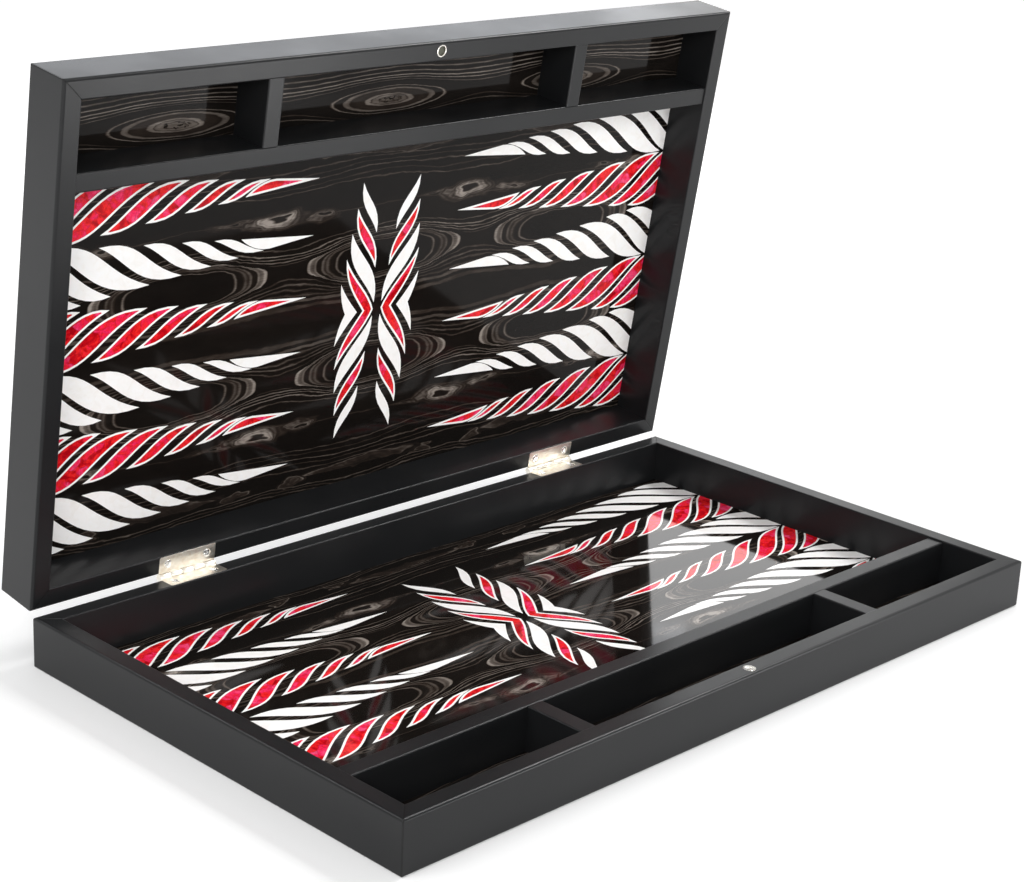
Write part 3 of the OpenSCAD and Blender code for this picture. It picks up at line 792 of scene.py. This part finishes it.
place = tree.nodes.new("ShaderNodeTexCoord").outputs["Object"]
distance = tree.nodes.new("ShaderNodeVectorMath")
distance.operation = "LENGTH"
tree.links.new(place, distance.inputs[0])
across = tree.nodes.new("ShaderNodeSeparateXYZ")
tree.links.new(place, across.inputs[0])
lift = tree.nodes.new("ShaderNodeMath")
lift.operation = "MAXIMUM"
for i, (measure, (start, full, high)) in enumerate(((distance.outputs["Value"], AWAY_LIFT),
                                                    (across.outputs["Y"], BEHIND_LIFT))):
    rise = tree.nodes.new("ShaderNodeMapRange")
    rise.interpolation_type = "SMOOTHSTEP"
    tree.links.new(measure, rise.inputs["Value"])
    for key, value in (("From Min", start), ("From Max", full), ("To Min", NEAR_LIFT),
                       ("To Max", high)):
        rise.inputs[key].default_value = value
    tree.links.new(rise.outputs["Result"], lift.inputs[i])
matt.inputs["Emission Color"].default_value = (1, 1, 1, 1)
tree.links.new(seen(tree, lift.outputs["Value"]), matt.inputs["Emission Strength"])
floor.data.materials.append(sheet)
print("floor size in m:", tuple(round(v, 2) for v in floor.dimensions))

# %% [markdown]
# The light is a white room. The surround is white at the horizon, which is the background of
# the picture, and a calm grey above, so that the gloss coat stays dark. Wide soft boxes in front
# and on the left light the board, and two small ones add to them from the right and from behind.
# The others are there for what lacquer and nickel mirror: one lies as a pale sheen on the far
# corner of the veneer, one on the lid's top edge, and the rest draw the thin bright lines along
# the rails' rounded edges.

# %% Light
world = bpy.data.worlds.new("studio")
bpy.context.scene.world = world
world.use_nodes = True
air = world.node_tree
background = air.nodes["Background"]
background.inputs["Color"].default_value = (1, 1, 1, 1)
toward = air.nodes.new("ShaderNodeSeparateXYZ")
air.links.new(air.nodes.new("ShaderNodeTexCoord").outputs["Generated"], toward.inputs[0])
wall = air.nodes.new("ShaderNodeMapRange")
wall.interpolation_type = "SMOOTHSTEP"
air.links.new(toward.outputs["Z"], wall.inputs["Value"])
WALL_FOOT, WALL_TOP = 0.07, 0.25
HORIZON_LEVEL, ROOM_LEVEL, SPREAD_SHARE = 1.0, 0.42, 0.7
for key, value in (("From Min", WALL_FOOT), ("From Max", WALL_TOP), ("To Min", HORIZON_LEVEL),
                   ("To Max", ROOM_LEVEL)):
    wall.inputs[key].default_value = value
strength = air.nodes.new("ShaderNodeMath")
strength.operation = "MULTIPLY"
air.links.new(wall.outputs["Result"], strength.inputs[0])
air.links.new(seen(air, 1.0, SPREAD_SHARE), strength.inputs[1])
air.links.new(strength.outputs[0], background.inputs["Strength"])


def soft_box(name, place, aim, width, height, level, tint=(1.0, 1.0, 1.0)):
    """A rectangle of light of that size in metres; a mirror would show it at that level."""
    data = bpy.data.lights.new(name, "AREA")
    data.color = tint
    data.shape = "RECTANGLE"
    data.size, data.size_y = width, height
    data.energy = level * math.pi * width * height
    box = bpy.data.objects.new(name, data)
    bpy.context.scene.collection.objects.link(box)
    toward = Vector(aim) - Vector(place)
    box.matrix_world = Matrix.Translation(Vector(place)) @ toward.to_track_quat(
        "-Z", "Y").to_matrix().to_4x4()
    box.visible_camera = False


# The light on the board
soft_box("front_left_box", (-1.6, -1.5, 1.2), (0, 0.1, 0.15), 1.0, 0.9, 7.9)
soft_box("front_box", (-0.2, -1.9, 1.3), (0, 0.1, 0.15), 1.6, 0.9, 2.2)
soft_box("left_box", (-1.6, 0.2, 1.4), (0, 0, 0), 1.2, 1.0, 4.6)
soft_box("right_box", (1.15, -0.25, 1.3), (0, 0, 0), 0.35, 0.35, 26.0)
soft_box("back_left_box", (-0.75, 1.05, 1.1), (-0.24, 0, 0), 0.35, 0.35, 9.0)
# What lacquer, veneer and nickel mirror
soft_box("low_right_box", (1.2, -0.4, 0.25), (0, 0, 0.1), 0.8, 0.4, 0.8)
soft_box("lid_top_box", (0.80, 1.2, 0.80), (0, 0.1, 0.4), 1.05, 0.3, 2.6,
         tint=(0.92, 0.95, 1.0))
soft_box("window_box", (1.4, 0.895, 0.618), (0.143, 0.009, 0.023), 0.45, 0.19, 3.7)
soft_box("low_front_box", (0.28, -0.52, 0.06), (-0.15, 0.12, 0.3), 0.32, 0.12, 10.0)
soft_box("edge_box", (0.9, 0.02, 1.36), (0, 0.1, 0.42), 0.7, 0.1, 24.0)
bpy.context.scene.view_settings.view_transform = "Standard"
